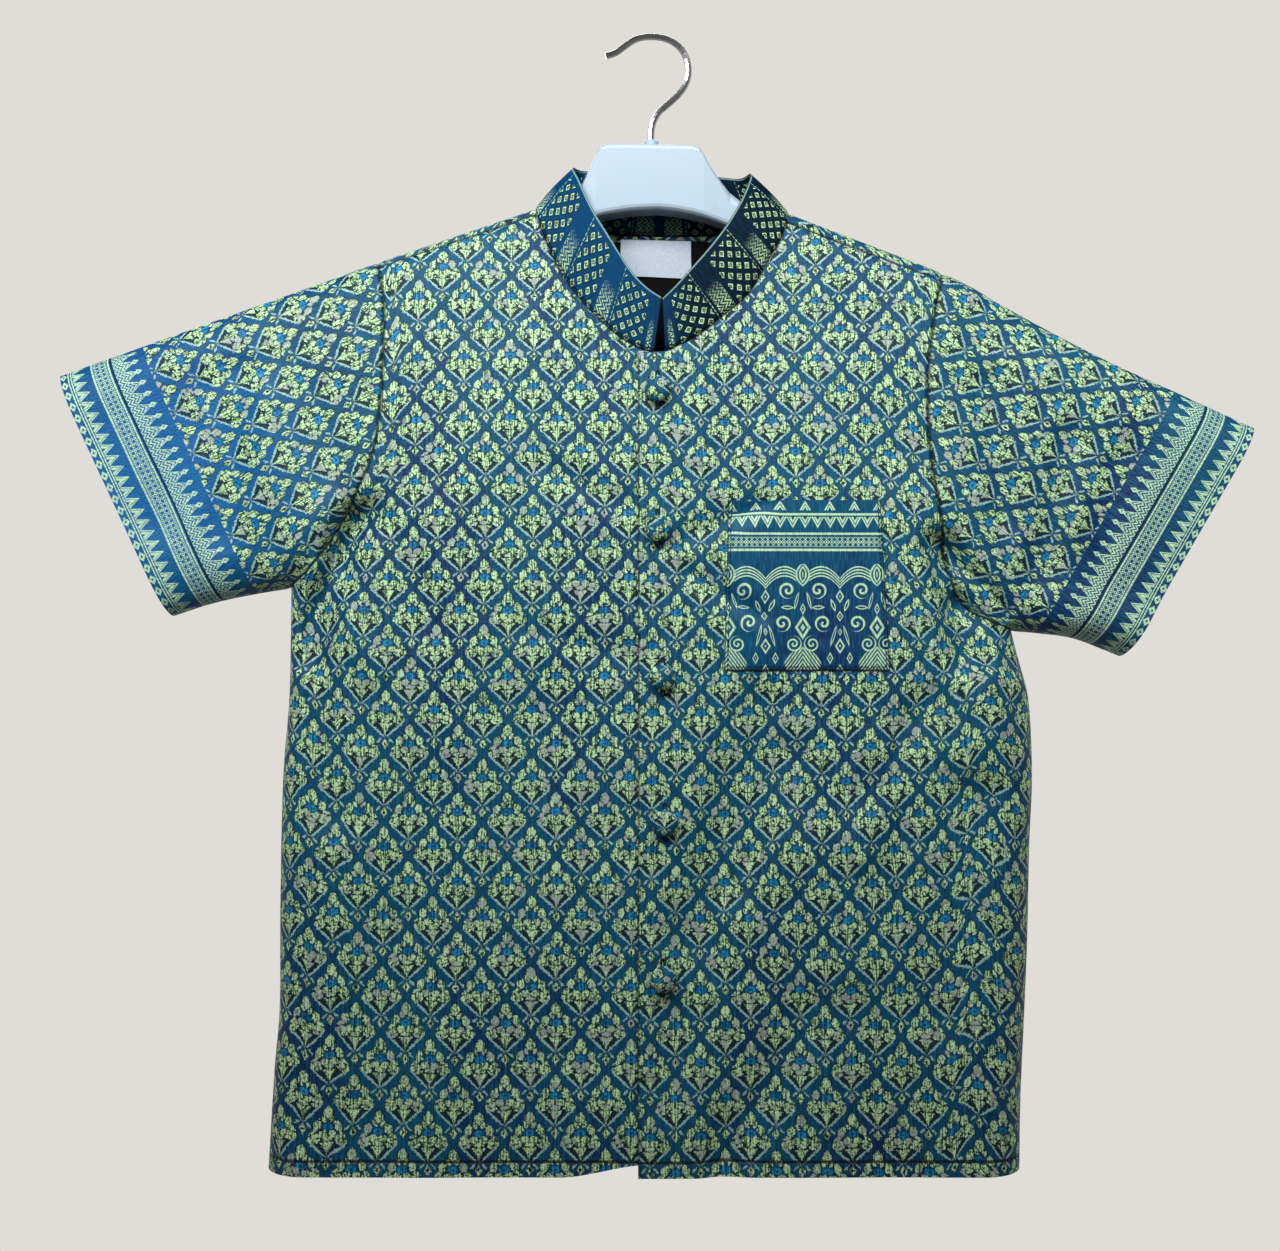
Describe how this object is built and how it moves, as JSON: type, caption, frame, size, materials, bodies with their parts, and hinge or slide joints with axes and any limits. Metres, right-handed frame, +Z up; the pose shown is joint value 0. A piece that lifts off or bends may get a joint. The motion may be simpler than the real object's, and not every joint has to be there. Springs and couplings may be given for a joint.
{
  "type": "mandarin collar shirt on a hanger",
  "caption": "Short-sleeved child's shirt in woven brocade with a stand collar, covered buttons and a chest pocket, hanging flat on a plastic hanger with a steel hook.",
  "frame": {"origin": "underside of the hook's wire at the top of its bend, where it rests on a rail", "axes": "+Z up, -Y out of the shirt's front, +X to the wearer's left"},
  "size_m": [0.6664, 0.0481, 0.6338],
  "materials": {
    "brocade": "satin",
    "border_brocade": "satin",
    "collar_brocade": "satin",
    "black_lining": "matt",
    "label_satin": "satin",
    "hanger_plastic": "satin",
    "hook_steel": "polished"
  },
  "bodies": {
    "root": {"front_right": "brocade", "front_left": "brocade", "back": "brocade", "sleeve_right": "border_brocade", "sleeve_left": "border_brocade", "collar": "collar_brocade", "pocket": "border_brocade", "back_lining": "black_lining", "neck_label": "label_satin", "button_1": "brocade", "button_2": "brocade", "button_3": "brocade", "button_4": "brocade", "button_5": "brocade", "hanger": "hanger_plastic", "hook": "hook_steel", "hook_ferrule": "hanger_plastic"}
  },
  "joints": []
}
